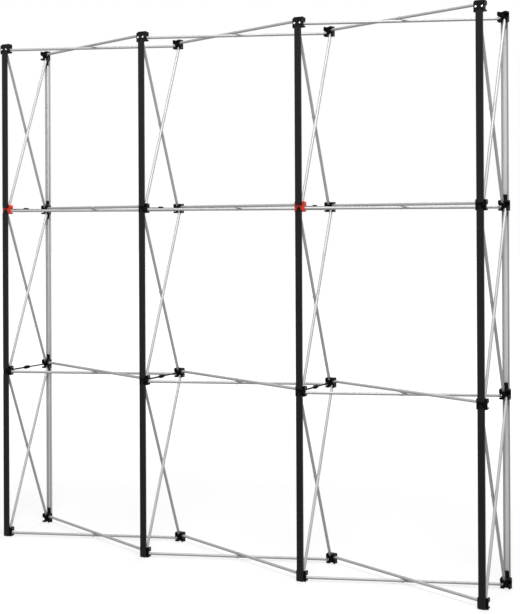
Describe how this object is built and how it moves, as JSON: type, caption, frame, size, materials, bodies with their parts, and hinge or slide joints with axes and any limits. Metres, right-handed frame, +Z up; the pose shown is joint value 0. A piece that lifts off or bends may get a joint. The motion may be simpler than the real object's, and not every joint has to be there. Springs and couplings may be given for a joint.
{
  "type": "pop up display backwall frame",
  "caption": "Free-standing folding scissor frame of aluminium tubes between square pinwheel hubs, with clip-on channel bars for graphic panels on its front and rear.",
  "frame": {"origin": "on the floor, at the centre of the frame's footprint", "axes": "+X to the right as seen from the front, +Y towards the rear, so the panel side faces -Y, and +Z up"},
  "size_m": [2.247, 0.3426, 2.247],
  "materials": {
    "hub_black": "satin",
    "hub_red": "satin",
    "end_black": "satin",
    "arm_black": "satin",
    "tube_aluminium": "satin",
    "rivet_aluminium": "satin",
    "pin_steel": "polished",
    "bar_black": "satin",
    "bar_silver": "satin"
  },
  "bodies": {
    "frame": {"front_top_hubs": "hub_black", "front_middle_hubs": "hub_black", "front_bottom_hubs": "hub_black", "red_hubs": "hub_red", "rear_top_hubs": "hub_black", "rear_middle_hubs": "hub_black", "rear_bottom_hubs": "hub_black", "row_tubes_low": "tube_aluminium", "row_tubes_high": "tube_aluminium", "column_tubes_left": "tube_aluminium", "column_tubes_right": "tube_aluminium", "tube_pins": "pin_steel", "cross_rivets": "rivet_aluminium", "hanger_blocks": "end_black", "hanger_pins": "pin_steel", "lock_posts": "arm_black", "lock_pins": "pin_steel"},
    "front_rail_1_upper": {"front_bar_1_upper": "bar_black", "front_ends_1_upper": "end_black"},
    "front_rail_1_middle": {"front_bar_1_middle": "bar_black", "front_ends_1_middle": "end_black"},
    "front_rail_1_lower": {"front_bar_1_lower": "bar_black", "front_ends_1_lower": "end_black"},
    "front_rail_2_upper": {"front_bar_2_upper": "bar_black", "front_ends_2_upper": "end_black"},
    "front_rail_2_middle": {"front_bar_2_middle": "bar_black", "front_ends_2_middle": "end_black"},
    "front_rail_2_lower": {"front_bar_2_lower": "bar_black", "front_ends_2_lower": "end_black"},
    "front_rail_3_upper": {"front_bar_3_upper": "bar_black", "front_ends_3_upper": "end_black"},
    "front_rail_3_middle": {"front_bar_3_middle": "bar_black", "front_ends_3_middle": "end_black"},
    "front_rail_3_lower": {"front_bar_3_lower": "bar_black", "front_ends_3_lower": "end_black"},
    "front_rail_4_upper": {"front_bar_4_upper": "bar_black", "front_ends_4_upper": "end_black"},
    "front_rail_4_middle": {"front_bar_4_middle": "bar_black", "front_ends_4_middle": "end_black"},
    "front_rail_4_lower": {"front_bar_4_lower": "bar_black", "front_ends_4_lower": "end_black"},
    "rear_rail_1_upper": {"rear_bar_1_upper": "bar_silver", "rear_ends_1_upper": "end_black"},
    "rear_rail_1_middle": {"rear_bar_1_middle": "bar_silver", "rear_ends_1_middle": "end_black"},
    "rear_rail_1_lower": {"rear_bar_1_lower": "bar_silver", "rear_ends_1_lower": "end_black"},
    "rear_rail_4_upper": {"rear_bar_4_upper": "bar_silver", "rear_ends_4_upper": "end_black"},
    "rear_rail_4_middle": {"rear_bar_4_middle": "bar_silver", "rear_ends_4_middle": "end_black"},
    "rear_rail_4_lower": {"rear_bar_4_lower": "bar_silver", "rear_ends_4_lower": "end_black"},
    "lock_arm_1_upper": {"lock_arm_1_upper": "arm_black"},
    "lock_arm_1_lower": {"lock_arm_1_lower": "arm_black"},
    "lock_arm_2_upper": {"lock_arm_2_upper": "arm_black"},
    "lock_arm_2_lower": {"lock_arm_2_lower": "arm_black"},
    "lock_arm_3_upper": {"lock_arm_3_upper": "arm_black"},
    "lock_arm_3_lower": {"lock_arm_3_lower": "arm_black"}
  },
  "joints": [
    {"name": "front_rail_1_upper_pull", "type": "slide", "parent": "frame", "child": "front_rail_1_upper", "axis": [0, -1, 0], "range_m": [0, 0.06]},
    {"name": "front_rail_1_middle_pull", "type": "slide", "parent": "frame", "child": "front_rail_1_middle", "axis": [0, -1, 0], "range_m": [0, 0.06]},
    {"name": "front_rail_1_lower_pull", "type": "slide", "parent": "frame", "child": "front_rail_1_lower", "axis": [0, -1, 0], "range_m": [0, 0.06]},
    {"name": "front_rail_2_upper_pull", "type": "slide", "parent": "frame", "child": "front_rail_2_upper", "axis": [0, -1, 0], "range_m": [0, 0.06]},
    {"name": "front_rail_2_middle_pull", "type": "slide", "parent": "frame", "child": "front_rail_2_middle", "axis": [0, -1, 0], "range_m": [0, 0.06]},
    {"name": "front_rail_2_lower_pull", "type": "slide", "parent": "frame", "child": "front_rail_2_lower", "axis": [0, -1, 0], "range_m": [0, 0.06]},
    {"name": "front_rail_3_upper_pull", "type": "slide", "parent": "frame", "child": "front_rail_3_upper", "axis": [0, -1, 0], "range_m": [0, 0.06]},
    {"name": "front_rail_3_middle_pull", "type": "slide", "parent": "frame", "child": "front_rail_3_middle", "axis": [0, -1, 0], "range_m": [0, 0.06]},
    {"name": "front_rail_3_lower_pull", "type": "slide", "parent": "frame", "child": "front_rail_3_lower", "axis": [0, -1, 0], "range_m": [0, 0.06]},
    {"name": "front_rail_4_upper_pull", "type": "slide", "parent": "frame", "child": "front_rail_4_upper", "axis": [0, -1, 0], "range_m": [0, 0.06]},
    {"name": "front_rail_4_middle_pull", "type": "slide", "parent": "frame", "child": "front_rail_4_middle", "axis": [0, -1, 0], "range_m": [0, 0.06]},
    {"name": "front_rail_4_lower_pull", "type": "slide", "parent": "frame", "child": "front_rail_4_lower", "axis": [0, -1, 0], "range_m": [0, 0.06]},
    {"name": "rear_rail_1_upper_pull", "type": "slide", "parent": "frame", "child": "rear_rail_1_upper", "axis": [0, 1, 0], "range_m": [0, 0.06]},
    {"name": "rear_rail_1_middle_pull", "type": "slide", "parent": "frame", "child": "rear_rail_1_middle", "axis": [0, 1, 0], "range_m": [0, 0.06]},
    {"name": "rear_rail_1_lower_pull", "type": "slide", "parent": "frame", "child": "rear_rail_1_lower", "axis": [0, 1, 0], "range_m": [0, 0.06]},
    {"name": "rear_rail_4_upper_pull", "type": "slide", "parent": "frame", "child": "rear_rail_4_upper", "axis": [0, 1, 0], "range_m": [0, 0.06]},
    {"name": "rear_rail_4_middle_pull", "type": "slide", "parent": "frame", "child": "rear_rail_4_middle", "axis": [0, 1, 0], "range_m": [0, 0.06]},
    {"name": "rear_rail_4_lower_pull", "type": "slide", "parent": "frame", "child": "rear_rail_4_lower", "axis": [0, 1, 0], "range_m": [0, 0.06]},
    {"name": "lock_arm_1_upper_lift", "type": "hinge", "parent": "frame", "child": "lock_arm_1_upper", "pos_m": [-1.1025, -0.1225, 1.491], "axis": [1, 0, 0], "range_deg": [0, 35]},
    {"name": "lock_arm_1_lower_lift", "type": "hinge", "parent": "frame", "child": "lock_arm_1_lower", "pos_m": [-1.1025, -0.1225, 0.756], "axis": [1, 0, 0], "range_deg": [0, 35]},
    {"name": "lock_arm_2_upper_lift", "type": "hinge", "parent": "frame", "child": "lock_arm_2_upper", "pos_m": [-0.3675, -0.1225, 1.491], "axis": [1, 0, 0], "range_deg": [0, 35]},
    {"name": "lock_arm_2_lower_lift", "type": "hinge", "parent": "frame", "child": "lock_arm_2_lower", "pos_m": [-0.3675, -0.1225, 0.756], "axis": [1, 0, 0], "range_deg": [0, 35]},
    {"name": "lock_arm_3_upper_lift", "type": "hinge", "parent": "frame", "child": "lock_arm_3_upper", "pos_m": [0.3675, -0.1225, 1.491], "axis": [1, 0, 0], "range_deg": [0, 35]},
    {"name": "lock_arm_3_lower_lift", "type": "hinge", "parent": "frame", "child": "lock_arm_3_lower", "pos_m": [0.3675, -0.1225, 0.756], "axis": [1, 0, 0], "range_deg": [0, 35]}
  ]
}
